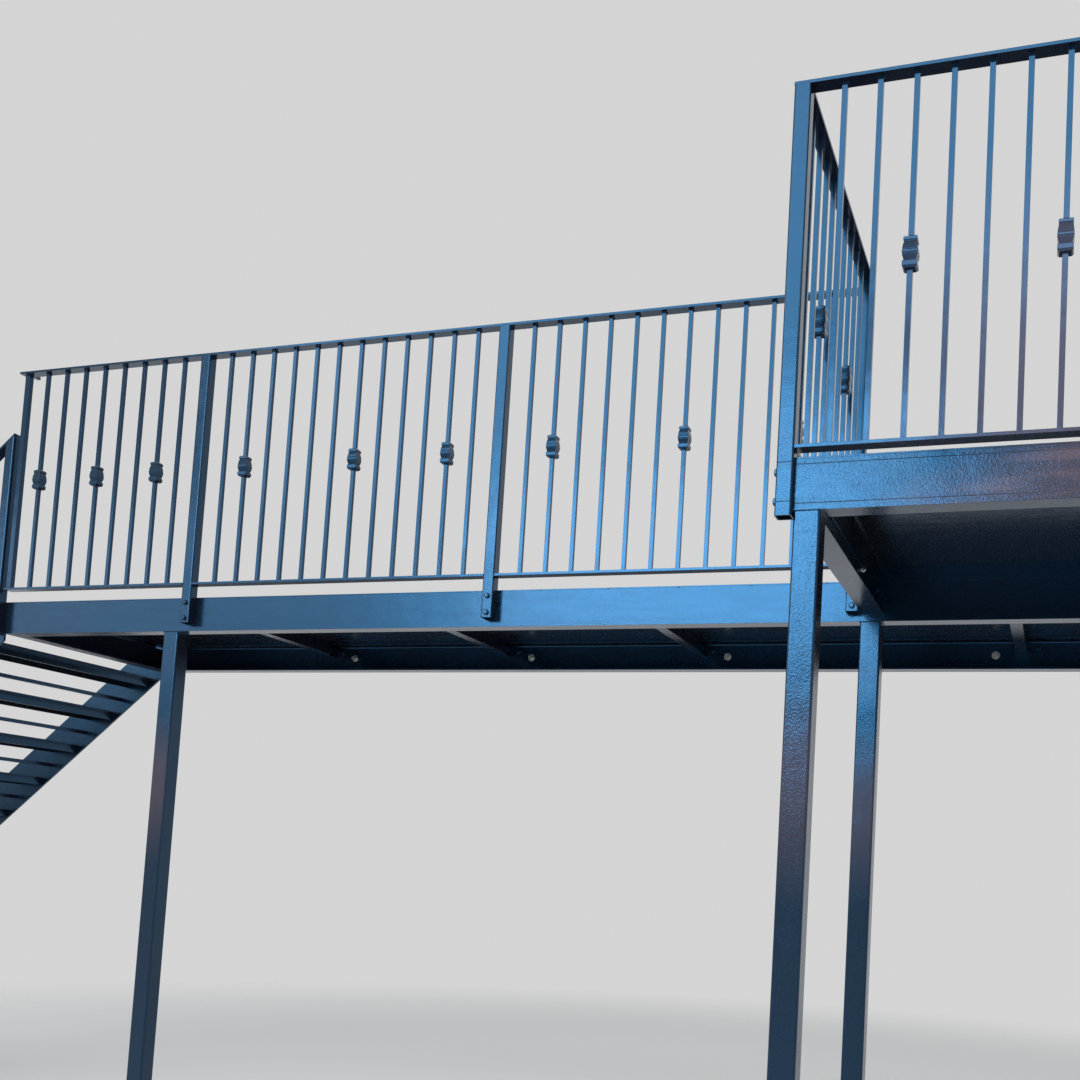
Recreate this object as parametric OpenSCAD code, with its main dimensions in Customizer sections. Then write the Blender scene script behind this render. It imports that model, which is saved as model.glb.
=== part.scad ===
// Steel fire escape: a wall walkway, a railed landing on posts and one straight flight down to the ground.
// The origin lies on the back face of the wall beam, halfway along it and halfway up its web.
// +X runs along the wall towards the landing, -Y points away from the wall, +Z is up.

/* [Walkway] */
// Depth of the walkway, from the wall to the outer face of its front beam
walk_depth = 1100; // [950:10:1400]
// Height of the walkway's deck above the ground
deck_height = 2730; // [2500:10:3000]
// Height of the walkway's top rail above its deck
rail_height = 1140; // [1100:5:1200]
// How far the walkway's railing posts stop short of its beams' bottom edge
post_lift = 30; // [0:1:60]
// Gap between the walkway's bottom rail and its deck
walk_toe_gap = 50; // [30:1:80]
// Number of bars in each full bay of the walkway's railing
bay_bars = 12; // [10:1:14]
// Number of bars in the short bay beside the stair
end_bars = 8; // [6:1:10]
// Clear gap between two bars
bar_gap = 99; // [80:1:100]
// Clear gap between two bars in the short bay beside the stair
end_gap = 100; // [80:1:100]

/* [Landing] */
// Rise from the walkway's deck to the landing's deck
land_step = 60; // [40:1:90]
// Height of the landing's top rail above its deck
land_rail_height = 1120; // [1100:5:1200]
// Gap between the landing's bottom rail and its deck
land_toe_gap = 20; // [15:1:40]
// Number of bars across the landing's front
land_bars = 17; // [13:1:21]
// Clear gap between two bars across the landing's front
land_gap = 88; // [80:1:99]
// Number of bars in each side of the landing
side_bars = 9; // [7:1:11]
// How far the landing's corner posts reach below its beams
corner_drop = 20; // [0:1:40]

/* [Stair] */
// Number of risers from the ground to the walkway
risers = 14; // [12:1:16]
// Going of each step
going = 240; // [220:1:260]
// How far each tread reaches back under the nosing above it
tread_lap = 20; // [5:1:30]
// Depth of the plate stringers, square to the slope
stringer_depth = 220; // [180:1:260]
// Thickness of the plate stringers
stringer_t = 12; // [8:1:15]
// Height of the stringers' top edge above the line of the nosings
stringer_rise = 80; // [60:1:110]
// Height of the handrail above the line of the nosings
handrail_height = 815; // [790:5:950]
// Number of bars in each half of the stair's railing
stair_bars = 13; // [12:1:14]
// Gap between the stair's bottom rail and its stringer
stair_gap = 50; // [30:1:80]
// Height of the folded lips under each tread
tread_lip = 45; // [35:1:60]

/* [Railings] */
// Side of the square railing bars
bar = 16; // [12:1:20]
// Side of the square tubes of the railing posts
post = 50; // [50:1:60]
// Wall of the railing posts
post_wall = 4; // [3:0.5:5]
// Width of the flat top and bottom rails
rail_w = 50; // [40:1:60]
// Thickness of the flat rails
rail_t = 10; // [8:1:12]
// Side of the square end stile of a railing
stile = 25; // [20:1:30]
// Width of the cast collars on the bars
collar_w = 45; // [36:1:50]
// Height of the cast collars
collar_h = 94; // [70:1:110]

/* [Steelwork] */
// Depth of the channel beams
beam_h = 150; // [140:1:180]
// Width of the channel beams' flanges
beam_w = 75; // [60:1:90]
// Thickness of the channel beams' webs
beam_web = 5.5; // [5:0.5:8]
// Thickness of the channel beams' flanges
beam_flange = 10; // [8:0.5:12]
// Radius between web and flange
beam_root = 12; // [8:1:14]
// Thickness of the deck plates
plate = 5; // [4:0.5:8]
// Depth of the landing's side beams
side_beam_h = 172; // [165:1:185]
// Width of the flanges of the landing's side beams
side_beam_w = 80; // [70:1:90]
// Depth of the box joists
joist = 60; // [50:1:70]
// Width of the box joists
joist_w = 50; // [40:1:60]
// Wall of the box joists
joist_t = 4; // [3:0.5:5]
// Number of joists in front of the landing's left side
walk_joists = 3; // [2:1:3]
// Spacing of these joists
joist_pitch = 1045; // [1000:5:1060]
// Distance from the walkway's left end to its first joist
joist_first = 1103; // [1060:1:1110]
// Distance from each side of the landing to the walkway joist behind it
joist_land = 524; // [400:1:600]
// Length of the legs of the joist cleats
cleat = 75; // [60:1:85]
// Thickness of the cleats and of the step plate
cleat_t = 6; // [5:0.5:8]
// Height of the joist cleats
cleat_h = 50; // [40:1:60]
// Side of the square tubes of the support posts
support = 80; // [70:1:100]
// Wall of the support posts
support_wall = 5; // [4:0.5:8]
// Distance from the walkway's left end to its own support post
support_offset = 953; // [850:1:1000]

/* [Fixings] */
// Side of the square base plates
base_w = 200; // [180:1:240]
// Thickness of the base plates
base_t = 12; // [8:1:20]
// Spacing of the holes in a base plate
base_hole_pitch = 140; // [130:1:150]
// Diameter of the holes for ground and wall bolts
hole_d = 18; // [14:1:22]
// Distance from a joist's left face to the wall bolt on its right
anchor_offset = 170; // [150:1:190]
// Distance from the joists behind the landing to the wall bolts beside them
anchor_side = 85; // [70:1:110]
// Clearance that keeps neighbouring steel pieces apart
clear = 3; // [2:0.5:5]
// Gap between the deck and the wall
wall_gap = 10; // [5:1:20]

/* [Hidden] */
paint = [0.07, 0.09, 0.13];
$fn = 32;
eps = 0.01;

// Clear widths of the bays between their posts
end_clear = end_bars * bar + (end_bars + 1) * end_gap;
bay_clear = bay_bars * bar + (bay_bars + 1) * bar_gap;
side_clear = side_bars * bar + (side_bars + 1) * bar_gap;
land_width = land_bars * bar + (land_bars + 1) * land_gap;
land_reach = side_clear + 1.5 * post;

// Places along the wall, first counted from the walkway's left end
post_left = 2 * stile + end_clear;
post_middle = post_left + post + bay_clear;
post_junction = post_middle + post + bay_clear;
land_start = post_junction + post;
walk_length = land_start + land_width;
left_x = -walk_length / 2;
right_x = walk_length / 2;
land_x = left_x + land_start;
land_mid = (land_x + right_x) / 2;

// Levels
deck_z = beam_h / 2 + plate;
beam_z = -beam_h / 2;
ground_z = deck_z - deck_height;
land_deck_z = deck_z + land_step;
land_beam_z = beam_z + land_step;
side_beam_z = land_deck_z - plate - side_beam_h;
front_y = -walk_depth;
land_y = front_y - land_reach;
rail_line = front_y - post / 2;

// Stair geometry in the plane of the slope
rise = deck_height / risers;
treads = risers - 1;
slope = rise / going;
pitch = atan(slope);
stringer_v = stringer_depth / cos(pitch);
rail_v = rail_t / cos(pitch);
stair_run = risers * going + tread_lap;
stair_toe_gap = stringer_rise + stair_gap;
newel_mid_d = (stair_run - post) / 2;
stair_clear = newel_mid_d - post;

// Joists and wall bolts: the last two joists stand behind the landing
joists = walk_joists + 2;
cope_h = beam_flange + beam_root;
cope_len = beam_w - beam_web + clear;
post_cope_h = land_beam_z - side_beam_z + cope_h;

function joist_x(i) = i < walk_joists ? left_x + joist_first + i * joist_pitch
    : i == walk_joists ? land_x + joist_land : right_x - joist_land - joist_w;
function anchor_x(i) = i < walk_joists ? joist_x(i) + anchor_offset
    : i == walk_joists ? joist_x(i) - anchor_side : joist_x(i) + joist_w + anchor_side;
function nosing_z(d) = deck_z - (d - tread_lap) * slope;
function even_gap(span, n) = (span - n * bar) / (n + 1);

// Sections

module rounded_square(w, r) {
    translate([r, 0]) square([w - 2 * r, w]);
    translate([0, r]) square([w, w - 2 * r]);
    for (x = [r, w - r], y = [r, w - r]) translate([x, y]) circle(r);
}

module tube_section(w, wall) {
    difference() {
        rounded_square(w, 1.5 * wall);
        translate([wall, wall]) rounded_square(w - 2 * wall, wall);
    }
}

module channel_section(h, w) {
    inner = h - 2 * beam_flange;
    difference() {
        square([w, h]);
        translate([beam_web, beam_flange]) {
            translate([beam_root, 0]) square([w, inner]);
            translate([0, beam_root]) square([w, inner - 2 * beam_root]);
            for (z = [beam_root, inner - beam_root]) translate([beam_root, z]) circle(beam_root);
        }
    }
}

// A channel along +X with its web on the XZ plane and its flanges towards +Y.
// Coped ends are notched, so that they fit between the flanges of the beam that they meet.
module channel(length, coped = false) {
    difference() {
        rotate([90, 0, 90]) linear_extrude(length) channel_section(beam_h, beam_w);
        if (coped)
            for (x = [-clear, length - cope_len], z = [-clear, beam_h - cope_h])
                translate([x, -clear, z]) cube([cope_len + clear, beam_w + 2 * clear, cope_h + clear]);
    }
}

// The landing's deeper side channel. Its front end is notched round the front beam and the support post.
module side_channel() {
    length = land_reach - beam_web;
    difference() {
        rotate([90, 0, 90]) linear_extrude(length) channel_section(side_beam_h, side_beam_w);
        translate([-clear, -clear, side_beam_h - cope_h])
            cube([cope_len + clear, side_beam_w + 2 * clear, cope_h + clear]);
        translate([-clear, -clear, -clear])
            cube([support - beam_web + clear, side_beam_w + 2 * clear, post_cope_h + clear]);
    }
}

// A box joist along +Y under the deck. Its ends are notched below the beams' top flanges.
module box_joist(length, cope_back) {
    difference() {
        translate([0, 0, -joist]) cube([joist_w, length, joist]);
        translate([joist_t, -clear, joist_t - joist])
            cube([joist_w - 2 * joist_t, length + 2 * clear, joist - 2 * joist_t]);
        translate([-clear, -clear, -cope_h]) cube([joist_w + 2 * clear, cope_len + clear, cope_h + clear]);
        if (cope_back)
            translate([-clear, length - cope_len, -cope_h])
                cube([joist_w + 2 * clear, cope_len + clear, cope_h + clear]);
    }
}

// Railings

collar_profile = [
    [0.72, 0.00], [0.95, 0.07], [0.95, 0.20], [0.78, 0.25], [0.88, 0.33], [0.98, 0.42], [0.94, 0.45],
    [1.00, 0.48], [1.00, 0.53], [0.94, 0.56], [0.97, 0.59], [0.90, 0.71], [0.78, 0.83], [0.88, 0.87],
    [0.88, 0.95], [0.70, 1.00]
];

module collar_side() {
    w = collar_w / 2;
    right = [for (p = collar_profile) [p[0] * w, (p[1] - 0.5) * collar_h]];
    left = [for (i = [len(collar_profile) - 1:-1:0]) [-right[i][0], right[i][1]]];
    translate([0, collar_w / 2, 0]) rotate([90, 0, 0]) linear_extrude(collar_w) polygon(concat(right, left));
}

module collar() {
    intersection() {
        collar_side();
        rotate([0, 0, 90]) collar_side();
    }
}

// A straight railing panel in the XZ plane, from x = 0 to x = span, standing over z = 0.
// over_start and over_end are how far its top rail runs on over the posts beside it.
module panel(span, n, toe_gap, height, collars, over_start, over_end) {
    gap = even_gap(span, n);
    bar_low = toe_gap + rail_t / 2;
    bar_high = height - rail_t / 2;
    translate([0, -rail_w / 2, toe_gap]) cube([span, rail_w, rail_t]);
    translate([-over_start, -rail_w / 2, height - rail_t])
        cube([span + over_start + over_end, rail_w, rail_t]);
    for (i = [1:n]) {
        x = i * gap + (i - 1) * bar;
        translate([x, -bar / 2, bar_low]) cube([bar, bar, bar_high - bar_low]);
        if (len(search(i, collars)) > 0) translate([x + bar / 2, 0, (bar_low + bar_high) / 2]) collar();
    }
}

// The square bar that closes the free end of a panel
module end_stile(height, toe_gap) {
    translate([-stile, -stile / 2, toe_gap]) cube([stile, stile, height - toe_gap - rail_t / 2]);
    translate([-stile, -rail_w / 2, toe_gap]) cube([stile, rail_w, rail_t]);
}

module rail_post(low, high) {
    translate([0, 0, low]) linear_extrude(high - low) tube_section(post, post_wall);
}

// One half of the stair's railing, in the XZ plane with x = 0 at its upper post and falling towards -X
module stair_panel(start_d) {
    gap = even_gap(stair_clear, stair_bars);
    low = stair_toe_gap;
    high = handrail_height - rail_v;
    for (h = [low, high])
        sloped_strip(-stair_clear - (h == low ? 0 : post), h == low ? 0 : (start_d == post ? post : 0), h,
            rail_v, rail_w, start_d);
    for (i = [1:stair_bars]) {
        d = i * gap + (i - 1) * bar;
        sloped_strip(-d - bar, -d, low + rail_v / 2, high - low, bar, start_d);
        if (len(search(i, [3, 7, 11])) > 0)
            translate([-d - bar / 2, 0, nosing_z(start_d + d + bar / 2) + (low + rail_v + high) / 2])
                collar();
    }
}

// A plate between two upright ends, parallel to the slope: base is its height above the nosings
module sloped_strip(x0, x1, base, depth, width, start_d) {
    z0 = nosing_z(start_d - x0) + base;
    z1 = nosing_z(start_d - x1) + base;
    translate([0, width / 2, 0]) rotate([90, 0, 0]) linear_extrude(width)
        polygon([[x0, z0], [x1, z1], [x1, z1 + depth], [x0, z0 + depth]]);
}

// A stair newel from level low up to the underside of the handrail: d is the distance down the flight
module newel(d, low) {
    translate([left_x - d - post, front_y - post, 0]) difference() {
        rail_post(low, nosing_z(d) + handrail_height);
        translate([0, -clear, 0]) rotate([90, 0, 0]) mirror([0, 0, 1]) linear_extrude(post + 2 * clear)
            polygon([
                [-eps, nosing_z(d + post + eps) + handrail_height - rail_v],
                [post + eps, nosing_z(d - eps) + handrail_height - rail_v],
                [post + eps, nosing_z(d) + handrail_height + clear],
                [-eps, nosing_z(d) + handrail_height + clear]
            ]);
    }
}

// Stair

module stringer() {
    low_v = stringer_v - stringer_rise;
    foot_d = (deck_height - low_v) / slope + tread_lap;
    rotate([90, 0, 0]) linear_extrude(stringer_t)
        polygon([
            [left_x, deck_z], [left_x - tread_lap - stringer_rise / slope, deck_z],
            [left_x - stair_run, ground_z + stringer_rise], [left_x - stair_run, ground_z],
            [left_x - foot_d, ground_z], [left_x, nosing_z(0) - low_v]
        ]);
}

// A folded plate tread with a lip at its front and back
module tread(k) {
    depth = going + tread_lap;
    translate([left_x - tread_lap - k * going, -stringer_t, deck_z - k * rise])
        rotate([90, 0, 0]) linear_extrude(walk_depth - 2 * stringer_t)
            polygon([
                [0, 0], [depth, 0], [depth, -tread_lip], [depth - plate, -tread_lip],
                [depth - plate, -plate], [plate, -plate], [plate, -tread_lip], [0, -tread_lip]
            ]);
}

// Supports

module base_plate() {
    difference() {
        translate([-base_w / 2, -base_w / 2, 0]) cube([base_w, base_w, base_t]);
        for (x = [-1, 1], y = [-1, 1])
            translate([x * base_hole_pitch / 2, y * base_hole_pitch / 2, -clear])
                cylinder(h = base_t + 2 * clear, d = hole_d);
    }
}

// A support post whose left front edge stands at x, y
module support_post(x, y, top) {
    translate([x, y, ground_z]) {
        translate([0, 0, base_t]) linear_extrude(top - ground_z - base_t) tube_section(support, support_wall);
        translate([support / 2, support / 2, 0]) base_plate();
    }
}

// Decks

module deck_plate(x0, x1) {
    translate([x0, front_y, deck_z - plate]) cube([x1 - x0, walk_depth - wall_gap, plate]);
}

// Nodes

module wall_beam() {
    color(paint) difference() {
        translate([left_x, 0, beam_z]) mirror([0, 1, 0]) channel(walk_length);
        for (i = [0:joists - 1])
            translate([anchor_x(i), clear, 0]) rotate([90, 0, 0])
                cylinder(h = beam_web + 2 * clear, d = hole_d);
    }
}

module walkway_front_beam() {
    color(paint) translate([left_x, front_y, beam_z]) channel(walk_length);
}

module walkway_left_beam() {
    color(paint) translate([left_x, front_y + beam_web, beam_z]) mirror([1, 0, 0]) rotate([0, 0, 90])
        channel(walk_depth - 2 * beam_web, true);
}

module walkway_right_beam() {
    color(paint) translate([right_x, front_y + beam_web, beam_z]) rotate([0, 0, 90])
        channel(walk_depth - 2 * beam_web, true);
}

module walkway_joists() {
    color(paint) for (i = [0:joists - 1])
        translate([joist_x(i), front_y + beam_web, deck_z - plate])
            box_joist(walk_depth - 2 * beam_web, true);
}

// Angle cleats that fix each joist's right side to the wall beam's web
module joist_cleats() {
    color(paint) for (i = [0:joists - 1])
        translate([joist_x(i) + joist_w, -beam_web, deck_z - plate - cope_h - cleat_h]) {
            translate([0, -cleat_t, 0]) cube([cleat, cleat_t, cleat_h]);
            translate([0, -cleat, 0]) cube([cleat_t, cleat, cleat_h]);
        }
}

module walkway_deck_left() {
    color(paint) {
        deck_plate(left_x, joist_x(1) + (joist_w - clear) / 2);
        translate([left_x - tread_lap, front_y + stringer_t, deck_z - plate])
            cube([2 * tread_lap, walk_depth - 2 * stringer_t, plate]);
    }
}

module walkway_deck_middle() {
    color(paint) deck_plate(joist_x(1) + (joist_w + clear) / 2, joist_x(walk_joists) + (joist_w - clear) / 2);
}

module walkway_deck_right() {
    color(paint) deck_plate(joist_x(walk_joists) + (joist_w + clear) / 2, right_x);
}

module landing_front_beam() {
    color(paint) translate([land_x, land_y, land_beam_z]) channel(land_width);
}

module landing_left_beam() {
    color(paint) translate([land_x, land_y + beam_web, side_beam_z]) mirror([1, 0, 0]) rotate([0, 0, 90])
        side_channel();
}

module landing_right_beam() {
    color(paint) translate([right_x, land_y + beam_web, side_beam_z]) rotate([0, 0, 90]) side_channel();
}

module landing_joist() {
    color(paint) translate([land_mid - joist_w / 2, land_y + beam_web, land_deck_z - plate])
        box_joist(land_reach - beam_web - cleat_t, false);
}

// The cleats between the landing's steel and the walkway's front beam: one inside each side beam, bevelled
// to clear the beam's fillet, and an angle seat below the landing's joist.
module landing_cleats() {
    top = deck_z - plate;
    color(paint) {
        translate([land_x, front_y, 0]) side_cleat(top);
        translate([right_x, front_y, 0]) mirror([1, 0, 0]) side_cleat(top);
        translate([land_mid - cleat / 2, front_y, top]) {
            translate([0, -cleat_t, -joist]) cube([cleat, cleat_t, joist]);
            translate([0, -cleat, -cleat_t]) cube([cleat, cleat, cleat_t]);
        }
    }
}

module side_cleat(top) {
    low = side_beam_z + beam_flange + clear;
    bevel_x = beam_web + beam_root;
    bevel_z = side_beam_z + cope_h;
    rotate([90, 0, 0]) linear_extrude(cleat_t)
        polygon([[beam_web, bevel_z], [bevel_x, low], [beam_web + cleat, low], [beam_web + cleat, top],
            [beam_web, top]]);
    translate([beam_web, -cleat, bevel_z]) cube([cleat_t, cleat, top - bevel_z]);
}

// A flat bar that closes the step between the two decks, cut to fit under the side beams' top flanges
module landing_step_plate() {
    width = land_width - 2 * beam_web;
    notch = side_beam_w - beam_web;
    flange_low = land_step - beam_flange;
    root_low = land_step - cope_h;
    color(paint) translate([land_x + beam_web, front_y, deck_z - plate])
        rotate([90, 0, 0]) linear_extrude(cleat_t)
            polygon([[0, 0], [width, 0], [width, root_low], [width - beam_root, flange_low],
                [width - notch, flange_low], [width - notch, land_step], [notch, land_step],
                [notch, flange_low], [beam_root, flange_low], [0, root_low]]);
}

module landing_deck() {
    color(paint) translate([land_x, land_y, land_deck_z - plate]) cube([land_width, land_reach, plate]);
}

module support_post_walkway() {
    color(paint) support_post(left_x + support_offset, front_y, beam_z);
}

module support_post_inner_left() {
    color(paint) support_post(land_x, front_y, beam_z);
}

module support_post_inner_right() {
    color(paint) support_post(right_x - support, front_y, beam_z);
}

module support_post_front_left() {
    color(paint) support_post(land_x, land_y, land_beam_z);
}

module support_post_front_right() {
    color(paint) support_post(right_x - support, land_y, land_beam_z);
}

module rail_post_left() {
    color(paint) translate([left_x + post_left, front_y - post, 0])
        rail_post(beam_z + post_lift, deck_z + rail_height - rail_t);
}

module rail_post_middle() {
    color(paint) translate([left_x + post_middle, front_y - post, 0])
        rail_post(beam_z + post_lift, deck_z + rail_height - rail_t);
}

module rail_post_junction() {
    color(paint) translate([left_x + post_junction, front_y - post, 0])
        rail_post(beam_z + post_lift, land_deck_z + land_rail_height - rail_t);
}

module rail_post_end() {
    color(paint) translate([right_x, front_y - post, 0])
        rail_post(beam_z + post_lift, land_deck_z + land_rail_height - rail_t);
}

module corner_post_left() {
    color(paint) translate([land_x - post, land_y - post / 2, 0])
        rail_post(land_beam_z - corner_drop, land_deck_z + land_rail_height - rail_t);
}

module corner_post_right() {
    color(paint) translate([right_x, land_y - post / 2, 0])
        rail_post(land_beam_z - corner_drop, land_deck_z + land_rail_height - rail_t);
}

module walkway_railing_left() {
    color(paint) translate([left_x + 2 * stile, rail_line, deck_z]) {
        panel(end_clear, end_bars, walk_toe_gap, rail_height, [1, 4, 7], 2 * stile, post / 2);
        end_stile(rail_height, walk_toe_gap);
    }
}

module walkway_railing_middle() {
    color(paint) translate([left_x + post_left + post, rail_line, deck_z])
        panel(bay_clear, bay_bars, walk_toe_gap, rail_height, [2, 7, 11], post / 2, post / 2);
}

module walkway_railing_right() {
    color(paint) translate([left_x + post_middle + post, rail_line, deck_z])
        panel(bay_clear, bay_bars, walk_toe_gap, rail_height, [2, 7, 11], post / 2, 0);
}

module walkway_railing_end() {
    span = walk_depth - 2 * stile;
    color(paint) translate([right_x + post / 2, -2 * stile, deck_z]) rotate([0, 0, -90]) {
        panel(span, side_bars, walk_toe_gap, rail_height, [2, 5, 8], 2 * stile - wall_gap, 0);
        end_stile(rail_height, walk_toe_gap);
    }
}

module landing_railing_left() {
    color(paint) translate([land_x - post / 2, land_y + post / 2, land_deck_z]) rotate([0, 0, 90])
        panel(side_clear, side_bars, land_toe_gap, land_rail_height, [3, 7], 0, post);
}

module landing_railing_right() {
    color(paint) translate([right_x + post / 2, land_y + post / 2, land_deck_z]) rotate([0, 0, 90])
        panel(side_clear, side_bars, land_toe_gap, land_rail_height, [3, 7], 0, post);
}

module landing_railing_front() {
    color(paint) translate([land_x, land_y, land_deck_z])
        panel(land_width, land_bars, land_toe_gap, land_rail_height, [3, 7, 11, 15], post, post);
}

module stringer_front() {
    color(paint) translate([0, front_y + stringer_t, 0]) stringer();
}

module stringer_wall() {
    color(paint) stringer();
}

module stair_treads() {
    color(paint) for (k = [1:treads]) tread(k);
}

module newel_top() {
    color(paint) newel(0, beam_z);
}

module newel_middle() {
    color(paint) newel(newel_mid_d, nosing_z(newel_mid_d + post / 2) - stringer_v + stringer_rise);
}

module newel_bottom() {
    color(paint) newel(stair_run - post, ground_z);
}

module stair_railing_upper() {
    color(paint) translate([left_x - post, rail_line, 0]) stair_panel(post);
}

module stair_railing_lower() {
    color(paint) translate([left_x - newel_mid_d - post, rail_line, 0]) stair_panel(newel_mid_d + post);
}

wall_beam();
walkway_front_beam();
walkway_left_beam();
walkway_right_beam();
walkway_joists();
joist_cleats();
walkway_deck_left();
walkway_deck_middle();
walkway_deck_right();
landing_front_beam();
landing_left_beam();
landing_right_beam();
landing_joist();
landing_cleats();
landing_step_plate();
landing_deck();
support_post_walkway();
support_post_inner_left();
support_post_inner_right();
support_post_front_left();
support_post_front_right();
rail_post_left();
rail_post_middle();
rail_post_junction();
rail_post_end();
corner_post_left();
corner_post_right();
walkway_railing_left();
walkway_railing_middle();
walkway_railing_right();
walkway_railing_end();
landing_railing_left();
landing_railing_front();
landing_railing_right();
stringer_front();
stringer_wall();
stair_treads();
newel_top();
newel_middle();
newel_bottom();
stair_railing_upper();
stair_railing_lower();
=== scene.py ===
import math

import bmesh
import bpy
from mathutils import Matrix, Vector


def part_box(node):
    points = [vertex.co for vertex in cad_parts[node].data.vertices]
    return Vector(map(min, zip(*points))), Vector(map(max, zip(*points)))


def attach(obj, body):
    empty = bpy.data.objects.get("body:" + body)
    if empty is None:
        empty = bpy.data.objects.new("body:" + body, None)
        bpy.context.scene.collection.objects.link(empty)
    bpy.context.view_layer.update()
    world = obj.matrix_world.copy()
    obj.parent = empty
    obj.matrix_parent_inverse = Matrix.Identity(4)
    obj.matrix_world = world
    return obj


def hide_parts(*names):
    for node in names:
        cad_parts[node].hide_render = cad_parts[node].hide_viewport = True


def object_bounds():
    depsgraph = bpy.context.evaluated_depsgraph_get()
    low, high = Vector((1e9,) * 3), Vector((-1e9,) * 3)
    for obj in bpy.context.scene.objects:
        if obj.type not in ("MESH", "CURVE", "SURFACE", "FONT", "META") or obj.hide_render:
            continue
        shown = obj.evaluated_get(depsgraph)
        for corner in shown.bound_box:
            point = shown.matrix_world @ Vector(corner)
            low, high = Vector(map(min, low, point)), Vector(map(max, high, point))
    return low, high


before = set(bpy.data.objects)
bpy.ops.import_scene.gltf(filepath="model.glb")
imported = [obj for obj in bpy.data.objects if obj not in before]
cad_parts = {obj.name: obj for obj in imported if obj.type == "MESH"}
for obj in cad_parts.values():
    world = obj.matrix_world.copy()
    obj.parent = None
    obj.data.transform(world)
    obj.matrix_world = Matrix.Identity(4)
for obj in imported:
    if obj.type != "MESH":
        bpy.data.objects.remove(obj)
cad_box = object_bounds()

scene = bpy.context.scene


def add_object(name, data):
    """A new object in the scene, at the origin, unturned and unscaled."""
    made = bpy.data.objects.new(name, data)
    scene.collection.objects.link(made)
    return made


# Camera, at the photo's viewpoint

def place_camera():
    focal, centre_x, centre_y, side = 1212.247, 665.65, 786.217, 1080
    yaw, pitch, roll = 0.32168, 0.07199, -0.05418
    millimetre = 0.001
    place = Vector((1934.75, -5633.43, -1068.93)) * millimetre
    ahead = Vector((-math.sin(yaw) * math.cos(pitch),
                    math.cos(yaw) * math.cos(pitch),
                    math.sin(pitch)))
    right = Vector((math.cos(yaw), math.sin(yaw), 0))
    up = right.cross(ahead)
    turned_right = right * math.cos(roll) - up * math.sin(roll)
    turned_up = right * math.sin(roll) + up * math.cos(roll)
    turn = Matrix((turned_right, turned_up, -ahead)).transposed()
    camera = bpy.data.cameras.new("camera")
    camera.sensor_width = 36
    camera.lens = focal / side * camera.sensor_width
    camera.shift_x = (side / 2 - centre_x) / side
    camera.shift_y = (centre_y - side / 2) / side
    camera.clip_end = 300
    holder = add_object("camera", camera)
    holder.matrix_world = Matrix.Translation(place) @ turn.to_4x4()
    scene.camera = holder


place_camera()


# Node trees

class Link:
    """A shader socket that can be added, subtracted and multiplied; each operator adds its node."""

    def __init__(self, net, socket):
        self.net, self.socket = net, socket

    def __add__(self, other): return self.net.maths("ADD", self, other)
    def __radd__(self, other): return self.net.maths("ADD", other, self)
    def __sub__(self, other): return self.net.maths("SUBTRACT", self, other)
    def __mul__(self, other): return self.net.maths("MULTIPLY", self, other)
    def __rmul__(self, other): return self.net.maths("MULTIPLY", other, self)


class Outputs:
    """A shader node whose outputs are read as links."""

    def __init__(self, net, made):
        self.net, self.made = net, made

    def __getitem__(self, key):
        return Link(self.net, self.made.outputs[key])


def add_node(tree, kind, settings, values=(), named=()):
    """A new node with its settings, its inputs linked or set; None leaves an input as it is."""
    made = tree.nodes.new(kind)
    for key, value in settings.items():
        setattr(made, key, value)
    for key, value in [*enumerate(values), *dict(named).items()]:
        if value is None:
            continue
        socket = made.inputs[key.replace("_", " ") if isinstance(key, str) else key]
        if isinstance(value, Link):
            value = value.socket
        if isinstance(value, bpy.types.NodeSocket):
            tree.links.new(value, socket)
        else:
            socket.default_value = value
    return made


class Net:
    """The shader tree of one material."""

    def __init__(self, name):
        self.material = bpy.data.materials.new(name)
        self.material.use_nodes = True
        self.tree = self.material.node_tree
        self.tree.nodes.clear()
        self.out = self.tree.nodes.new("ShaderNodeOutputMaterial")
        self.place = self.node("ShaderNodeTexCoord", {})["Object"]

    def node(self, kind, settings, *values, **named):
        return Outputs(self, add_node(self.tree, kind, settings, values, named))

    def maths(self, operation, *values):
        return self.node("ShaderNodeMath", {"operation": operation}, *values)[0]

    def noise(self, scale, detail, stretch=None, rough=0.5):
        place = self.place
        if stretch:
            place = self.node("ShaderNodeMapping", {}, Vector=place, Scale=stretch)[0]
        return self.node("ShaderNodeTexNoise", {}, Vector=place, Scale=scale, Detail=detail,
                         Roughness=rough)[0]

    def spread(self, value, low, high):
        """0 up to low and 1 from high on; the other way round where low is the larger."""
        return self.node("ShaderNodeMapRange", {}, Value=value, From_Min=low, From_Max=high)[0]

    def patches(self, scale, detail, low, high):
        return self.spread(self.noise(scale, detail), low, high)

    def mix(self, share, low, high):
        """Two colours mixed, by the inputs and the output that the mix node has for colour."""
        unused = [None] * 5
        return self.node("ShaderNodeMix", {"data_type": "RGBA"}, share, *unused, low, high)[2]

    def bump(self, height, distance, strength, normal):
        return self.node("ShaderNodeBump", {}, Strength=strength, Distance=distance,
                         Height=height, Normal=normal)[0]

    def facing(self):
        """The surface's own direction in the world, split into X, Y and Z."""
        normal = self.node("ShaderNodeNewGeometry", {})["Normal"]
        return self.node("ShaderNodeSeparateXYZ", {}, normal)

    def finish(self, **sockets):
        shader = self.node("ShaderNodeBsdfPrincipled", {}, **sockets)
        self.tree.links.new(shader[0].socket, self.out.inputs["Surface"])
        return self.material


def shade(r, g, b):
    return (r, g, b, 1)


# Finishes

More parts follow.
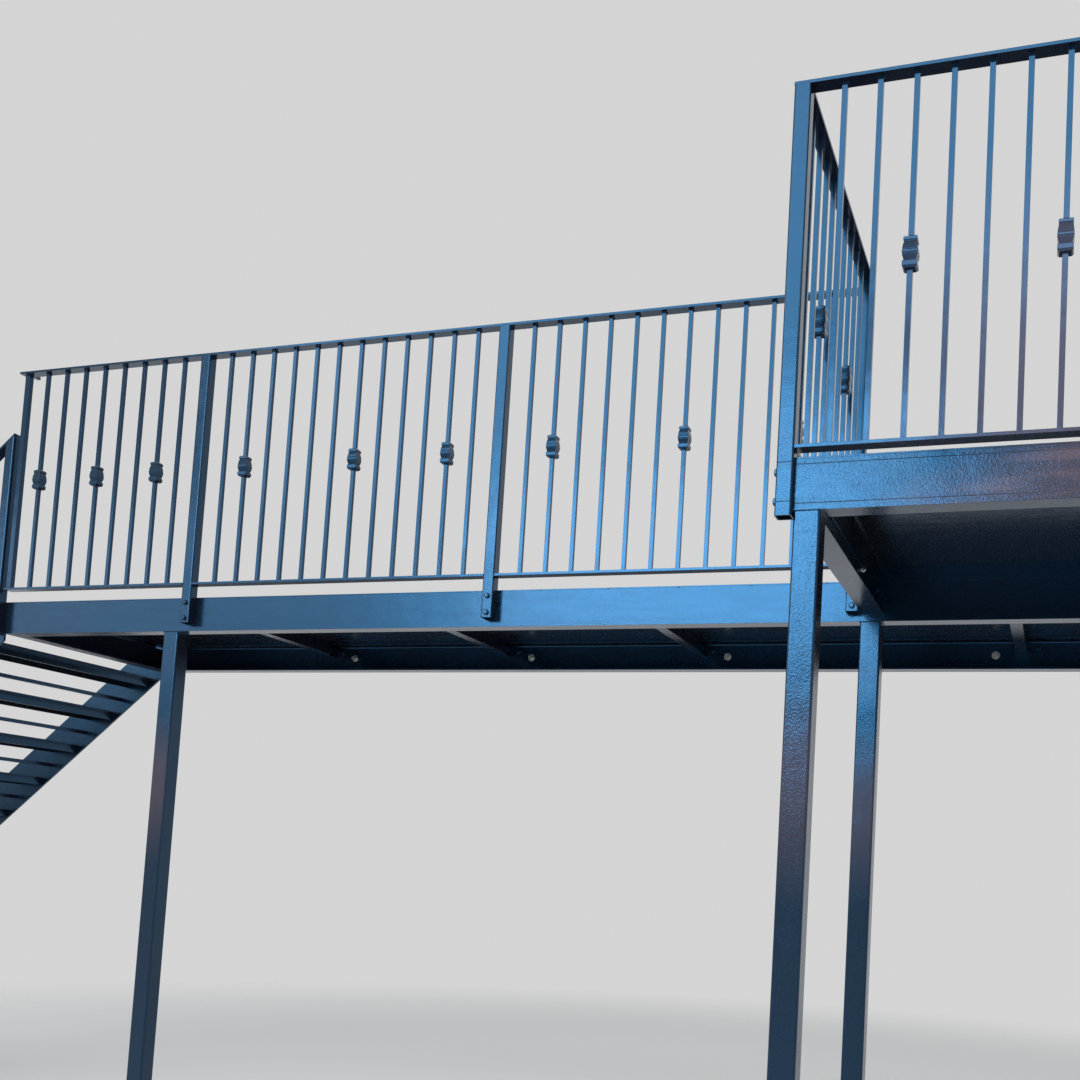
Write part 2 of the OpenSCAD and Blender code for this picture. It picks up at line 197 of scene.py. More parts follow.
DEEP = shade(0.011, 0.009, 0.011)
RAIL_DEEP = shade(0.012, 0.009, 0.012)
DECK_DEEP = shade(0.010, 0.010, 0.011)
# Painted reflection: the blue of a sky mirrored by the gloss, put into the colour of faces turned
# out
PAINTED_SKY_REFLECTION = shade(0.004, 0.011, 0.021)
# Painted reflection: a tint that turns every reflection of the gloss sky blue
SKY_REFLECTION_TINT = shade(0.11, 0.49, 1.0)
# Painted reflections of warm surroundings, on the landing's railing, the landing's front beam and
# the supports
RAIL_PAINTED_REFLECTION = shade(0.090, 0.062, 0.072)
BEAM_PAINTED_REFLECTION = shade(0.125, 0.060, 0.040)
SUPPORT_PAINTED_REFLECTION = shade(0.072, 0.038, 0.030)
DUST = shade(0.16, 0.15, 0.14)
RUBBED = shade(0.21, 0.20, 0.19)

# Where the paint changes, painted reflections included: each pair runs from no effect to the full
# effect, in metres, but for OUTWARD_FACE, which is of the surface's direction
LANDING_FRONT_OUT = (2.2, 2.25)
OUTWARD_FACE = (0.2, 1.0)
THICK_COAT_DOWN = (0.26, 0.16)
POST_STROKES_DOWN = (-0.08, -0.10)
# The painted sky reflection fades out downwards
SKY_REFLECTION_UP = (-1.2, -0.5)
# Where the painted reflections of warm surroundings lie on the railing, the beam and the supports
RAIL_REFLECTION_ALONG, RAIL_REFLECTION_DOWN = (1.30, 1.75), (1.0, 0.5)
BEAM_REFLECTION_ALONG, BEAM_REFLECTION_UP, BEAM_REFLECTION_SLANT = (1.36, 1.72), (-0.03, -0.01), 1.75
SUPPORTS_ALONG = (-3.0, -2.8)
SUPPORT_REFLECTION_UP, SUPPORT_REFLECTION_DOWN = (-1.15, -0.85), (-0.45, -0.70)
LANDING_WEB_MIDDLE, LANDING_RIM = 0.0625, (0.0560, 0.0585)

# Noise scales, and depths of relief in metres
PEEL_SCALE, WAVE_SCALE, STROKE_SCALE, SKY_REFLECTION_SCALE, DUST_SCALE, PIT_SCALE = 180, 7, 30, 3, 6, 300
WAVE_DEPTH, STROKE_DEPTH, RIM_DEPTH, EDGE_RADIUS = 0.006, 0.0008, 0.0012, 0.0015
LEVEL_STRETCH, UPRIGHT_STRETCH = (0.12, 1, 1), (1, 1, 0.15)

# Rubbed spots: noise scale, where they start and are full in the noise, and their strength
DECK_RUBS = (8, 0.40, 0.75, 0.3)
RIB_RUBS = (20, 0.25, 0.70, 0.8)


def gloss_paint(name, deep, peel_depth, pitted=0.16, upright=False, rubs=None):
    """Near-black gloss on steel, with a painted blue sky reflection on what faces away from the
    wall.

    Dust lies on what faces up, and painted reflections of warm surroundings lie on the landing's
    front and the supports.
    The relief is of slow waves, brush strokes and orange peel, deeper where the coat is thick.
    upright is for the railings: their strokes all run up and down, and their painted warm
    reflection is a paler one.
    """
    net = Net(name)
    spot = net.node("ShaderNodeSeparateXYZ", {}, net.place)
    along, height = spot[0], spot[2]
    landing_front = net.spread(spot[1] * -1, *LANDING_FRONT_OUT)
    facing = net.facing()
    outward, up = net.spread(facing[1] * -1, *OUTWARD_FACE), facing[2]
    on_landing = outward * landing_front
    thick = 0.35 + 0.65 * net.spread(height, *THICK_COAT_DOWN)
    peel = net.noise(PEEL_SCALE, 2, rough=0.6)
    waves = net.noise(WAVE_SCALE, 2)
    strokes = net.noise(STROKE_SCALE, 3, UPRIGHT_STRETCH)
    if not upright:
        level = net.noise(STROKE_SCALE, 3, LEVEL_STRETCH)
        strokes = level + (strokes - level) * net.spread(height, *POST_STROKES_DOWN)

    # Painted sky reflection: blue in patches on faces turned out, fading out downwards
    patchy_sky_reflection = 0.6 + 0.4 * net.patches(SKY_REFLECTION_SCALE, 4, 0.35, 0.65)
    colour = net.mix(outward * (patchy_sky_reflection * net.spread(height, *SKY_REFLECTION_UP)), deep, PAINTED_SKY_REFLECTION)
    if upright:
        # Painted reflection of warm surroundings on the landing's railing, to the right and low
        # down
        warm_reflection = (on_landing * net.spread(along, *RAIL_REFLECTION_ALONG)
                * net.spread(height, *RAIL_REFLECTION_DOWN))
        colour = net.mix(warm_reflection, colour, RAIL_PAINTED_REFLECTION)
    else:
        # Painted reflection of warm surroundings on the landing's front beam, towards its right end
        right_end = (net.spread(along - BEAM_REFLECTION_SLANT * height, *BEAM_REFLECTION_ALONG)
                     * net.spread(height, *BEAM_REFLECTION_UP))
        warm_reflection = on_landing * right_end * (0.55 + 0.45 * net.spread(level, 0.46, 0.62))
        colour = net.mix(warm_reflection, colour, BEAM_PAINTED_REFLECTION)
        # Painted reflection of warm surroundings on the supports, in a band partway down
        low = (outward * net.spread(along, *SUPPORTS_ALONG)
               * net.spread(height, *SUPPORT_REFLECTION_UP) * net.spread(height, *SUPPORT_REFLECTION_DOWN))
        colour = net.mix(low * 0.8, colour, SUPPORT_PAINTED_REFLECTION)
    dust = net.spread(up, 0.5, 1.0) * net.patches(DUST_SCALE, 5, 0.30, 0.80)
    colour = net.mix(dust * 0.4, colour, DUST)

    pits = net.patches(PIT_SCALE, 1, 0.50, 0.70) * thick
    rough = 0.12 + 0.08 * net.spread(strokes, 0.3, 0.75) + pitted * pits + 0.35 * dust
    if rubs:
        scale, least, most, strength = rubs
        rubbed = net.spread(up, 0.6, 1.0) * net.patches(scale, 4, least, most) * strength
        colour = net.mix(rubbed, colour, RUBBED)
        rough = rough + 0.15 * rubbed

    edges = net.node("ShaderNodeBevel", {"samples": 4}, Radius=EDGE_RADIUS)[0]
    relief = net.bump(waves, WAVE_DEPTH, 0.25, edges)
    relief = net.bump(strokes, STROKE_DEPTH, 0.3, relief)
    if not upright:
        from_middle = net.maths("ABSOLUTE", height - LANDING_WEB_MIDDLE)
        rim = net.spread(from_middle, *LANDING_RIM) * on_landing
        relief = net.bump(rim, RIM_DEPTH, 1.0, relief)
    relief = net.bump(peel * thick, peel_depth, 0.7, relief)
    # The specular tint is a painted reflection: it turns every reflection sky blue
    return net.finish(Base_Color=colour, Roughness=rough, Normal=relief,
                      Specular_IOR_Level=1.0, Specular_Tint=SKY_REFLECTION_TINT,
                      Coat_Weight=0.06, Coat_Roughness=0.08)


def bolt_zinc():
    net = Net("zinc plated anchors")
    spangle = net.noise(400, 2)
    colour = net.mix(net.spread(spangle, 0.3, 0.7),
                     shade(0.52, 0.52, 0.50), shade(0.70, 0.70, 0.68))
    return net.finish(Base_Color=colour, Metallic=0.9, Roughness=0.28 + 0.2 * spangle)


# The blue on the frame and railings is painted sky reflection; their paint is near black
frame_paint = gloss_paint("frame black gloss with painted sky reflection", DEEP, 0.0008)
rail_paint = gloss_paint("railing black gloss with painted sky reflection", RAIL_DEEP, 0.0005, 0.08, upright=True)
deck_paint = gloss_paint("deck dulled black", DECK_DEEP, 0.0005, rubs=DECK_RUBS)
rib_paint = gloss_paint("tread ribs rubbed black", DECK_DEEP, 0.0003, rubs=RIB_RUBS)
zinc = bolt_zinc()

for name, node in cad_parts.items():
    if "deck" in name or name == "stair_treads":
        paint = deck_paint
    elif "railing" in name:
        paint = rail_paint
    else:
        paint = frame_paint
    node.data.materials.clear()
    node.data.materials.append(paint)


# Geometry node trees

class Growth:
    """A geometry node tree with named inputs, run on a mesh of seeds."""

    def __init__(self, name, **sizes):
        self.tree = bpy.data.node_groups.new(name, "GeometryNodeTree")
        self.names = {}
        self.add_socket("Geometry", "NodeSocketGeometry")
        self.add_socket("Finish", "NodeSocketMaterial")
        for key, value in sizes.items():
            kind = "NodeSocketInt" if isinstance(value, int) else "NodeSocketFloat"
            self.add_socket(key, kind).default_value = value
        self.add_socket("Geometry", "NodeSocketGeometry", "OUTPUT")
        self.start = self.tree.nodes.new("NodeGroupInput")
        self.end = self.tree.nodes.new("NodeGroupOutput")

    def add_socket(self, key, kind, side="INPUT"):
        socket = self.tree.interface.new_socket(key.replace("_", " "), in_out=side,
                                                socket_type=kind)
        if side == "INPUT":
            self.names[key] = socket.identifier
        return socket

    def size(self, key):
        return self.start.outputs[key.replace("_", " ")]

    def node(self, kind, settings, *values, **named):
        return add_node(self.tree, kind, settings, values, named)

    def maths(self, operation, *values):
        return self.node("ShaderNodeMath", {"operation": operation}, *values).outputs[0]

    def times(self, first, second):
        return self.maths("MULTIPLY", first, second)

    def plus(self, first, second):
        return self.maths("ADD", first, second)

    def vector(self, x=0.0, y=0.0, z=0.0):
        return self.node("ShaderNodeCombineXYZ", {}, x, y, z).outputs[0]

    def moved(self, shape, **how):
        return self.node("GeometryNodeTransform", {}, shape, **how).outputs[0]

    def raised(self, shape, height):
        return self.moved(shape, Translation=self.vector(z=height))

    def cylinder(self, corners, radius, depth, height):
        shape = self.node("GeometryNodeMeshCylinder", {}, Vertices=corners, Radius=radius,
                          Depth=depth).outputs[0]
        return self.raised(shape, height)

    def cone(self, corners, top, bottom, depth):
        return self.node("GeometryNodeMeshCone", {}, Vertices=corners, Radius_Top=top,
                         Radius_Bottom=bottom, Depth=depth).outputs[0]

    def joined(self, *shapes):
        made = self.tree.nodes.new("GeometryNodeJoinGeometry")
        for shape in shapes:
            self.tree.links.new(shape, made.inputs[0])
        return made.outputs[0]

    def points(self, mesh):
        return self.node("GeometryNodeMeshToPoints", {}, mesh).outputs[0]

    def stood(self, points, shape, **how):
        return self.node("GeometryNodeInstanceOnPoints", {}, points, None, shape,
                         **how).outputs[0]

    def close(self, shape):
        real = self.node("GeometryNodeRealizeInstances", {}, shape).outputs[0]
        done = self.node("GeometryNodeSetMaterial", {}, real,
                         Material=self.size("Finish")).outputs[0]
        self.tree.links.new(done, self.end.inputs[0])

    def grow(self, name, start, **sizes):
        """Run the tree on a mesh and keep the result as a plain mesh that rides the frame."""
        holder = add_object(name + "_seeds", start)
        step = holder.modifiers.new("grow", "NODES")
        step.node_group = self.tree
        for key, value in sizes.items():
            step[self.names[key]] = value
        bpy.context.view_layer.update()
        grown = holder.evaluated_get(bpy.context.evaluated_depsgraph_get())
        ready = bpy.data.meshes.new_from_object(grown)
        holder.modifiers.clear()
        bpy.data.objects.remove(holder)
        ready.name = name
        piece = add_object(name, ready)
        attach(piece, "root")
        return piece


def seeds(places, aims=()):
    """Points for repeated shapes, with the direction in which each stands where that is given."""
    mesh = bpy.data.meshes.new("seeds")
    mesh.from_pydata([tuple(place) for place in places], [], [])
    aim = mesh.attributes.new("aim", "FLOAT_VECTOR", "POINT")
    for spot, direction in enumerate(aims):
        aim.data[spot].vector = direction
    return mesh


def bolt_tree():
    """A hexagon head with a bevelled top on a round washer, and the end of its thread."""
    growth = Growth("hexagon bolts", Across=0.019, Head=0.008, Washer=0.024,
                    Washer_thickness=0.0025, Thread=0.0)
    times, plus = growth.times, growth.plus
    head, thin = growth.size("Head"), growth.size("Washer_thickness")
    radius = growth.maths("DIVIDE", growth.size("Across"), math.sqrt(3))
    flats, seat = times(head, 0.78), times(thin, 0.8)
    body = growth.cylinder(6, radius, flats, plus(times(flats, 0.5), seat))
    crown = growth.cone(12, times(radius, 0.62), times(radius, 0.86), times(head, 0.24))
    crown = growth.raised(crown, plus(flats, seat))
    disc = growth.cylinder(16, times(growth.size("Washer"), 0.5), thin, times(thin, 0.5))
    length = plus(growth.size("Thread"), head)
    thread = growth.cylinder(10, times(radius, 0.52), length, times(length, 0.55))
    aim = growth.node("GeometryNodeInputNamedAttribute", {"data_type": "FLOAT_VECTOR"},
                      "aim").outputs[0]
    turn = growth.node("FunctionNodeAlignRotationToVector", {"axis": "Z"}, Vector=aim).outputs[0]
    growth.close(growth.stood(growth.points(growth.start.outputs[0]),
                              growth.joined(body, crown, disc, thread), Rotation=turn))
    return growth


def stud_tree():
    """The raised pattern of a tread plate: short ribs, each a quarter turn from the next."""
    growth = Growth("raised tread pattern", Width=1.0, Depth=1.0, Columns=10, Rows=10,
                    Length=0.026, Breadth=0.009, Rise=0.0016)
    rows = growth.size("Rows")
    grid = growth.node("GeometryNodeMeshGrid", {}, growth.size("Width"), growth.size("Depth"),
                       growth.size("Columns"), rows).outputs[0]
    index = growth.node("GeometryNodeInputIndex", {}).outputs[0]
    row = growth.maths("FLOORED_MODULO", index, rows)
    column = growth.maths("FLOOR", growth.maths("DIVIDE", growth.plus(index, 0.5), rows))
    other = growth.maths("FLOORED_MODULO", growth.plus(row, column), 2.0)
    angle = growth.maths("MULTIPLY_ADD", other, math.pi / 2, math.pi / 4)
    turn = growth.node("FunctionNodeEulerToRotation", {}, growth.vector(z=angle)).outputs[0]
    size = growth.vector(growth.size("Length"), growth.size("Breadth"), growth.size("Rise"))
    rib = growth.moved(growth.cone(6, 0.24, 0.5, 1.0), Scale=size)
    field = growth.stood(growth.points(grid), rib, Rotation=turn)
    growth.close(growth.stood(growth.points(growth.start.outputs[0]), field))
    return growth


def bead_tree():
    """A weld bead: small drops, close enough to run into each other, along each seam."""
    growth = Growth("weld beads", Thickness=0.006, Spacing=0.004)
    line = growth.node("GeometryNodeMeshToCurve", {}, growth.start.outputs[0]).outputs[0]
    points = growth.node("GeometryNodeCurveToPoints", {"mode": "LENGTH"}, line,
                         Length=growth.size("Spacing")).outputs[0]
    spread = growth.node("FunctionNodeRandomValue", {"data_type": "FLOAT"}, Seed=4)
    spread.inputs[2].default_value, spread.inputs[3].default_value = 0.8, 1.15
    radius = growth.times(growth.times(growth.size("Thickness"), 0.5), spread.outputs[1])
    drop = growth.node("GeometryNodeMeshIcoSphere", {}, Radius=1.0, Subdivisions=1).outputs[0]
    growth.close(growth.stood(points, drop, Scale=growth.vector(radius, radius, radius)))
    return growth


bolts = bolt_tree()
ribs = stud_tree()
beads = bead_tree()


# Places on the steelwork, in metres

GROUND = cad_box[0].z
BEAM_LOW, BEAM_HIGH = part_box("walkway_front_beam")
LEFT, RIGHT, FRONT = BEAM_LOW.x, BEAM_HIGH.x, BEAM_LOW.y
LAND_LOW, LAND_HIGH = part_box("landing_deck")
LAND, LAND_FRONT, LAND_TOP = LAND_LOW.x, LAND_LOW.y, LAND_HIGH.z
DECK_TOP, WEB, CLEAT, POST, BAR, RAIL, JOIST = 0.080, 0.0055, 0.006, 0.050, 0.016, 0.010, 0.050
RISE, GOING, NOSING, TREADS, STRINGER = 2.730 / 14, 0.240, 0.020, 13, 0.012
JOISTS = [LEFT + 1.103, LEFT + 2.148, LEFT + 3.193, LAND + 0.524, RIGHT - 0.574]
ANCHORS = [spot + 0.170 for spot in JOISTS[:3]] + [JOISTS[3] - 0.085, JOISTS[4] + 0.135]
OUT, LEFTWARDS, RIGHTWARDS, UP = (0, -1, 0), (-1, 0, 0), (1, 0, 0), (0, 0, 1)
RAIL_POSTS = ("rail_post_left", "rail_post_middle", "rail_post_junction", "rail_post_end")
SUPPORTS = ("walkway", "inner_left", "inner_right", "front_left", "front_right")


def nosing(distance):
    """The height of the line over the nosings, at a distance left of the walkway."""
    return DECK_TOP - (distance - NOSING) * RISE / GOING


def tread_edge(step):
    """The place of a tread's front top edge, along and up."""
    return LEFT - NOSING - step * GOING, DECK_TOP - step * RISE


def middle(name, axis):
    low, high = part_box(name)
    return (low[axis] + high[axis]) / 2


# Bolts, anchors and their washers

def fit_bolts():
    painted, plated = [], []
    post_heights, corner_post_heights = (0.047, -0.024), (0.098, 0.012)
    for name in RAIL_POSTS:
        painted += [((middle(name, 0), FRONT - POST, z), OUT) for z in post_heights]
    bedded = 0.0004
    for name, aim, side in (("corner_post_left", LEFTWARDS, 0),
                            ("corner_post_right", RIGHTWARDS, 1)):
        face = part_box(name)[side].x - bedded * aim[0]
        painted += [((face, LAND_FRONT, z), aim) for z in corner_post_heights]

    # Landing cleats: through the walkway's beam, and through the side beam with a head each side
    across, out, heights = 0.057, 0.050, (0.044, -0.006)
    for edge, turn in ((LAND, 1), (RIGHT, -1)):
        for z in heights:
            painted.append(((edge + turn * across, FRONT - CLEAT, z), OUT))
            painted.append(((edge + turn * (WEB + CLEAT), FRONT - out, z), (turn, 0, 0)))
            painted.append(((edge, FRONT - out, z), (-turn, 0, 0)))

    # Joist cleats: one through the wall beam and one through the joist
    across, out, to_beam, to_joist = 0.048, 0.050, 0.030, 0.036
    for x in JOISTS:
        painted.append(((x + JOIST + across, -WEB - CLEAT, to_beam), OUT))
        painted.append(((x + JOIST + CLEAT, -WEB - out, to_joist), RIGHTWARDS))

    # Newels: heights above the line over the nosings
    newel_bolts = {"newel_top": (0.030, -0.075), "newel_middle": (0.030, -0.075),
                   "newel_bottom": (0.150, 0.060)}
    for name, drops in newel_bolts.items():
        x = middle(name, 0)
        painted += [((x, FRONT - POST, nosing(LEFT - x) + drop), OUT) for drop in drops]

    plated += [((x, -WEB, 0.0), OUT) for x in ANCHORS]
    half_pitch, base_plate = 0.070, 0.012
    for name in SUPPORTS:
        node = "support_post_" + name
        x, y = middle(node, 0), middle(node, 1)
        plated += [((x + i * half_pitch, y + j * half_pitch, GROUND + base_plate), UP)
                   for i in (-1, 1) for j in (-1, 1)]

    made = bolts.grow("bolts_painted", seeds(*zip(*painted)), Finish=frame_paint, Across=0.021)
    bolts.grow("anchors_plated", seeds(*zip(*plated)), Finish=zinc, Across=0.024, Head=0.013,
               Washer=0.037, Washer_thickness=0.003, Thread=0.014)


fit_bolts()


# Raised tread pattern on the decks and treads

def raise_pattern():
    pitch, edge = 0.027, 0.012

    def lay(name, centres, width, depth):
        columns, rows = int(width / pitch), int(depth / pitch)
        made = ribs.grow(name, seeds(centres), Finish=rib_paint, Width=(columns - 1) * pitch,
                         Depth=(rows - 1) * pitch, Columns=columns, Rows=rows)

    def lay_deck(name, left, front, right, back, top):
        left, front, right, back = left + edge, front + edge, right - edge, back - edge
        centre = ((left + right) / 2, (front + back) / 2, top)
        lay(name, [centre], right - left, back - front)

    for part in ("left", "middle", "right"):
        low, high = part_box("walkway_deck_" + part)
        lay_deck("pattern_walkway_" + part, max(low.x, LEFT), low.y, high.x, high.y, DECK_TOP)
    lay_deck("pattern_landing", LAND, LAND_FRONT, RIGHT, FRONT, LAND_TOP)

    spots = []
    for step in range(1, TREADS + 1):
        x, top = tread_edge(step)
        spots.append((x + GOING / 2, FRONT / 2, top))
    margins = 0.016
    lay("pattern_treads", spots, GOING - margins, -FRONT - 2 * STRINGER - margins)


raise_pattern()


# Welds

def seams(runs):
    """Runs of points as a mesh of edges."""
    mesh = bpy.data.meshes.new("seams")
    points, edges = [], []
    for run in runs:
        first = len(points)
        points += [tuple(point) for point in run]
        edges += [(first + i, first + i + 1) for i in range(len(run) - 1)]
    mesh.from_pydata(points, edges, [])
    return mesh


def square_seam(x, y, half, z):
    """A run round a square bar or tube."""
    corners = ((-1, -1), (1, -1), (1, 1), (-1, 1), (-1, -1))
    return [(x + a * half, y + b * half, z) for a, b in corners]


def standing_seam(x, y, low, high):
    return [(x, y, low), (x, y, high)]


def level_seam(first, last, y, z):
    return [(first, y, z), (last, y, z)]


def weld_bars():
    """A bead round both ends of every railing bar."""
    walk = (DECK_TOP + 0.060, DECK_TOP + 1.130)
    land = (LAND_TOP + 0.030, LAND_TOP + 1.110)
    line = FRONT - POST / 2
    first, second, third = LEFT + 0.050, LEFT + 1.128, LEFT + 2.657
    end_bay, full_bay, walkway_end, landing_side = 1.028, 1.479, 1.050, 1.134
    rightwards, outwards, inwards = (1, 0), (0, -1), (0, 1)
    panels = [
        ((first, line), rightwards, end_bay, 8, walk),
        ((second, line), rightwards, full_bay, 12, walk),
        ((third, line), rightwards, full_bay, 12, walk),
        ((RIGHT + 0.025, -0.050), outwards, walkway_end, 9, walk),
        ((LAND, LAND_FRONT), rightwards, RIGHT - LAND, 17, land),
        ((LAND - 0.025, LAND_FRONT + 0.025), inwards, landing_side, 9, land),
        ((RIGHT + 0.025, LAND_FRONT + 0.025), inwards, landing_side, 9, land),
    ]
    half = BAR / 2 + 0.0008
    into_rail = 0.001
    runs = []
    for (x0, y0), (ux, uy), span, count, (low, high) in panels:
        gap = (span - count * BAR) / (count + 1)
        for i in range(count):
            along = gap + i * (gap + BAR) + BAR / 2
            for z in (low + into_rail, high - into_rail):
                runs.append(square_seam(x0 + ux * along, y0 + uy * along, half, z))
    made = beads.grow("welds_bars", seams(runs), Finish=rail_paint, Thickness=0.0055,
                      Spacing=0.0055)


weld_bars()


def weld_frame():
    """Beads where posts, beams, joists, decks and treads meet."""
    half_support = 0.040
    joist_heights, joist_foot = (0.016, 0.052), 0.015
    landing_corner_heights, landing_side_heights = (0.008, 0.112), (-0.036, 0.074)
    post_heights, corner_post_heights = ((-0.044, -0.004), (0.030, 0.073)), (-0.010, 0.120)
    tread_lengths, below_tread_top = ((0.020, 0.090), (0.160, 0.232)), 0.005
    runs = []
    for name in SUPPORTS:
        low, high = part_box("support_post_" + name)
        x, y = (low.x + high.x) / 2, (low.y + high.y) / 2
        for z in (high.z - 0.001, GROUND + 0.013):
            runs.append(square_seam(x, y, half_support, z))
    for x in JOISTS:
        for side in (x, x + JOIST):
            runs.append(standing_seam(side, FRONT + WEB, *joist_heights))
        runs.append(level_seam(x, x + JOIST, FRONT + WEB, joist_foot))
    for edge in (LAND, RIGHT):
        runs.append(standing_seam(edge, LAND_FRONT + WEB, *landing_corner_heights))
        runs.append(standing_seam(edge, FRONT, *landing_side_heights))
    for name in RAIL_POSTS:
        low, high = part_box(name)
        for x in (low.x, high.x):
            for heights in post_heights:
                runs.append(standing_seam(x, FRONT, *heights))
    for name, side in (("corner_post_left", 1), ("corner_post_right", 0)):
        low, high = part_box(name)
        runs.append(standing_seam((low, high)[side].x, high.y, *corner_post_heights))

    # Short stitches that hold the deck plates down to the front beams
    behind_face, stop_short = 0.001, 0.02
    for start, end, y, z, length, pitch in (
            (LAND + 0.028, RIGHT, LAND_FRONT, LAND_TOP - 0.014, 0.003, 0.222),
            (LEFT + 0.150, LAND, FRONT, DECK_TOP - 0.005, 0.006, 0.300)):
        x = start
        while x < end - stop_short:
            runs.append(level_seam(x, x + length, y + behind_face, z))
            x += pitch

    for step in range(1, TREADS + 1):
        x, z = tread_edge(step)
        for y in (FRONT + STRINGER, -STRINGER):
            for first, last in tread_lengths:
                runs.append(level_seam(x + first, x + last, y, z - below_tread_top))
    made = beads.grow("welds_frame", seams(runs), Finish=frame_paint)


weld_frame()


# Shapes made here from outlines

def as_mesh(shape, name, paint):
    """The finished shape as a mesh, painted; the shape itself is freed."""
    mesh = bpy.data.meshes.new(name)
    shape.to_mesh(mesh)
    shape.free()
    mesh.materials.append(paint)
    return mesh


def run_across(shape, outline):
    """An outline in X and Z, run from stringer to stringer."""
    ends = [[shape.verts.new((x, y, z)) for x, z in outline]
            for y in (FRONT + STRINGER, -STRINGER)]
    shape.faces.new(ends[0])
    shape.faces.new(ends[1])
    for i, corner in enumerate(ends[0]):
        after = (i + 1) % len(outline)
        shape.faces.new((corner, ends[0][after], ends[1][after], ends[1][i]))


def build_treads():
    """Treads that stay within the stringers' depth, and a bar halfway up each open riser."""
    lip, plate, fold, ease = 0.045, 0.005, 0.006, 0.0018
    inner_fold, inner_ease = 0.0075, 0.0057
    folded = [(0, -lip), (0, -fold), (ease, -ease), (fold, 0), (GOING, 0), (GOING, -plate),
              (inner_fold, -plate), (inner_ease, -inner_ease), (plate, -inner_fold), (plate, -lip)]
    near, far = 0.174, 0.180
    stiffener = [(near, -lip), (far, -lip), (far, -plate), (near, -plate)]
    shape = bmesh.new()
    for step in range(1, TREADS + 1):
        front, top = tread_edge(step)
        for outline in (folded, stiffener):
            run_across(shape, [(front + x, top + z) for x, z in outline])
    bmesh.ops.recalc_face_normals(shape, faces=shape.faces)
    treads = add_object("treads_folded", as_mesh(shape, "treads_folded", deck_paint))
    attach(treads, "root")
    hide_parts("stair_treads")

    side, ease = 0.020, 0.0015
    corners = [(ease, 0), (side - ease, 0), (side, ease), (side, side - ease),
               (side - ease, side), (ease, side), (0, side - ease), (0, ease)]
    shape = bmesh.new()
    for step in range(2, TREADS + 2):
        front, top = tread_edge(step)
        low = top + (RISE - lip - side) / 2
        run_across(shape, [(front + GOING - side + x, low + z) for x, z in corners])
    bmesh.ops.recalc_face_normals(shape, faces=shape.faces)
    bars = add_object("riser_bars", as_mesh(shape, "riser_bars", frame_paint))
    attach(bars, "root")


build_treads()


def end_lug():
    """The small lug behind the free end of the walkway's top rail."""
    width, length, thickness, corner, quarter_steps = 0.025, 0.035, RAIL, 0.012, 6
    left, back, top = LEFT + 0.025, FRONT + length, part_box("walkway_railing_left")[1].z
    outline = [(left, FRONT), (left + width, FRONT)]
    for side, first in ((left + width - corner, 0), (left + corner, 90)):
        for step in range(quarter_steps + 1):
            angle = math.radians(first + step * 90 / quarter_steps)
            outline.append((side + corner * math.cos(angle),
                            back - corner + corner * math.sin(angle)))
    shape = bmesh.new()
    bottom = shape.faces.new([shape.verts.new((x, y, top - thickness)) for x, y in outline])
    raised = bmesh.ops.extrude_face_region(shape, geom=[bottom])["geom"]
    upper = [part for part in raised if isinstance(part, bmesh.types.BMVert)]
    bmesh.ops.translate(shape, verts=upper, vec=(0, 0, thickness))
    bmesh.ops.recalc_face_normals(shape, faces=shape.faces)
    rims = [edge for edge in shape.edges
            if abs(edge.verts[0].co.z - edge.verts[1].co.z) < thickness / 2]
    bmesh.ops.bevel(shape, geom=rims, offset=0.001, segments=2, affect="EDGES", profile=0.5)
    lug = add_object("rail_end_lug", as_mesh(shape, "rail_end_lug", rail_paint))
    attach(lug, "root")


end_lug()


# Floor, world and lamps

def build_floor():
    """A pale floor that fades into the backdrop."""
    reach = 60
    fade_start, fade_end = 6.5, 11.0
    corners = [(-reach, -reach), (reach, -reach), (reach, reach), (-reach, reach)]
    mesh = bpy.data.meshes.new("floor")
    mesh.from_pydata([(x, y, GROUND) for x, y in corners], [], [(0, 1, 2, 3)])
    floor = add_object("floor", mesh)
    net = Net("pale floor")
    far = net.node("ShaderNodeVectorMath", {"operation": "LENGTH"}, net.place)["Value"]
    fade = net.node("ShaderNodeMapRange", {"interpolation_type": "SMOOTHSTEP"}, Value=far,
                    From_Min=fade_start, From_Max=fade_end)[0]
    solid = net.node("ShaderNodeBsdfPrincipled", {}, Base_Color=shade(0.80, 0.79, 0.78),
                     Roughness=0.9, Specular_IOR_Level=0.2)[0]
    clear = net.node("ShaderNodeBsdfTransparent", {})[0]
    blend = net.node("ShaderNodeMixShader", {}, fade, solid, clear)[0]
    net.tree.links.new(blend.socket, net.out.inputs["Surface"])
    mesh.materials.append(net.material)


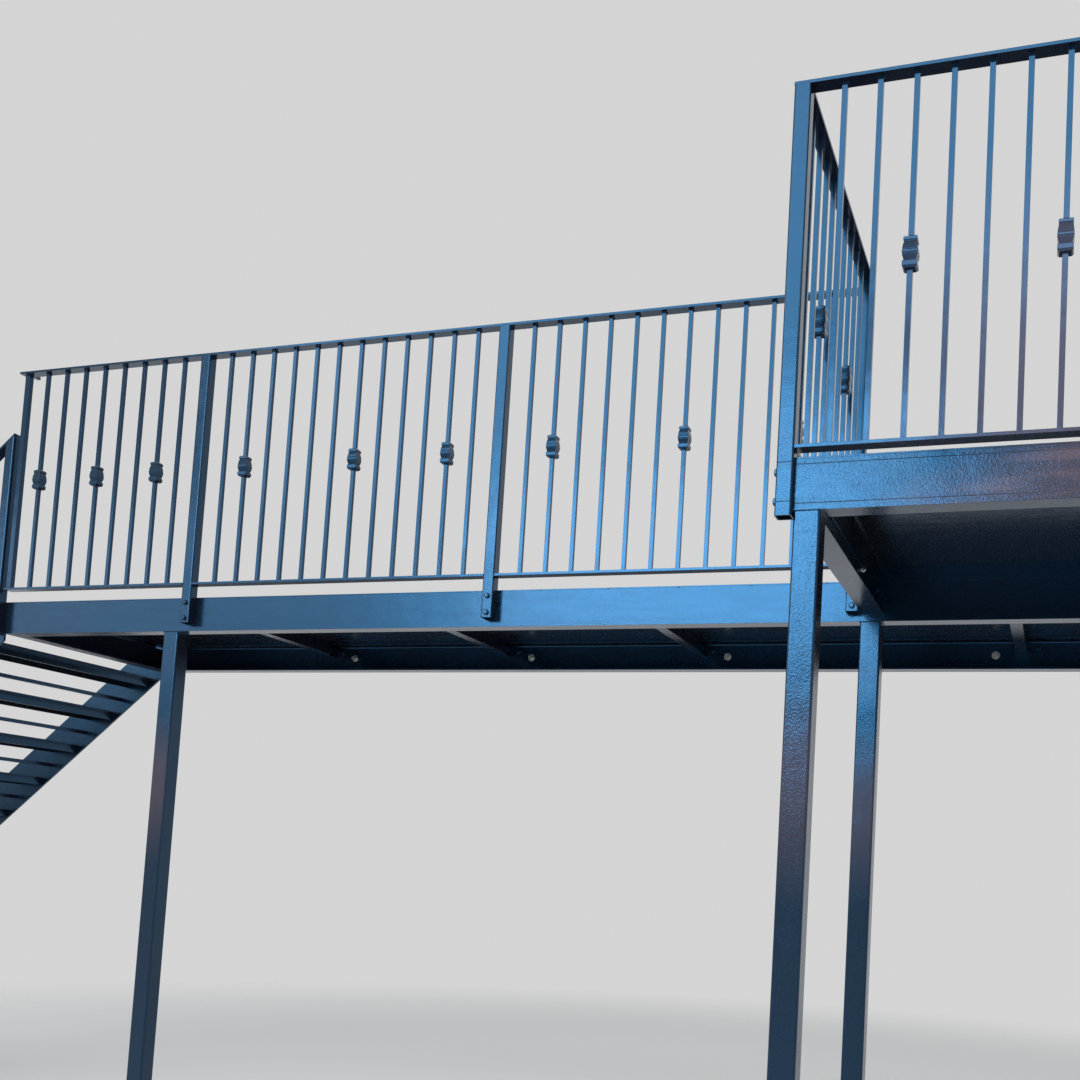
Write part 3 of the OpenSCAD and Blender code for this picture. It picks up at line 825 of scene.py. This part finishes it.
def build_world():
    """A soft light all round, and a grey backdrop for what looks past the object or mirrors it."""
    world = bpy.data.worlds.new("studio")
    scene.world = world
    world.use_nodes = True
    tree = world.node_tree
    tree.nodes.clear()

    def background(colour, strength):
        return add_node(tree, "ShaderNodeBackground", {}, (colour, strength)).outputs[0]

    light = background(shade(0.94, 0.97, 1.0), 0.45)
    seen = background(shade(0.66, 0.66, 0.66), 1.0)
    path = tree.nodes.new("ShaderNodeLightPath")
    share = path.outputs["Is Camera Ray"]
    for ray in ("Is Glossy Ray", "Is Transmission Ray"):
        share = add_node(tree, "ShaderNodeMath", {"operation": "MAXIMUM"},
                         (share, path.outputs[ray])).outputs[0]
    mixed = add_node(tree, "ShaderNodeMixShader", {}, (share, light, seen)).outputs[0]
    add_node(tree, "ShaderNodeOutputWorld", {}, (mixed,))


def add_panel(name, place, aim, width, height, brightness, colour):
    """A soft panel; its brightness is what a mirror would show of it."""
    light = bpy.data.lights.new(name, "AREA")
    light.shape, light.size, light.size_y = "RECTANGLE", width, height
    light.energy, light.color = brightness * math.pi * width * height, colour
    holder = add_object(name, light)
    place, aim = Vector(place), Vector(aim)
    holder.location = place
    holder.rotation_mode = "QUATERNION"
    holder.rotation_quaternion = (aim - place).to_track_quat("-Z", "Y")
    holder.visible_camera = False


def place_lamps():
    """A sky of four panels in front of the object, as its paint mirrors it, and two fill lamps."""
    sky, sky_distance = (0.90, 0.95, 1.0), 12.5
    for name, left, right, low, high, brightness in (
            ("low sky panel", -6.6, 0.3, 1.4, 4.5, 10.0),
            ("high left sky panel", -11.0, -0.8, 4.5, 9.5, 3.5),
            ("high right sky panel", -0.8, 8.0, 5.6, 9.5, 3.4),
            ("far left sky panel", -17.0, -6.6, 1.5, 4.5, 1.8)):
        x, z = (left + right) / 2, (low + high) / 2
        add_panel(name, (x, -sky_distance, z), (x, 0, z), right - left, high - low,
                  brightness, sky)
    add_panel("top panel", (0, 1.5, 9), (0, -1, 0), 7, 7, 1.6, (1.0, 0.98, 0.95))
    add_panel("side panel", (12, 1, 4), (0, -1, -0.5), 5, 5, 1.2, (1.0, 0.98, 0.96))


build_floor()
build_world()
place_lamps()

scene.view_settings.view_transform = "Standard"
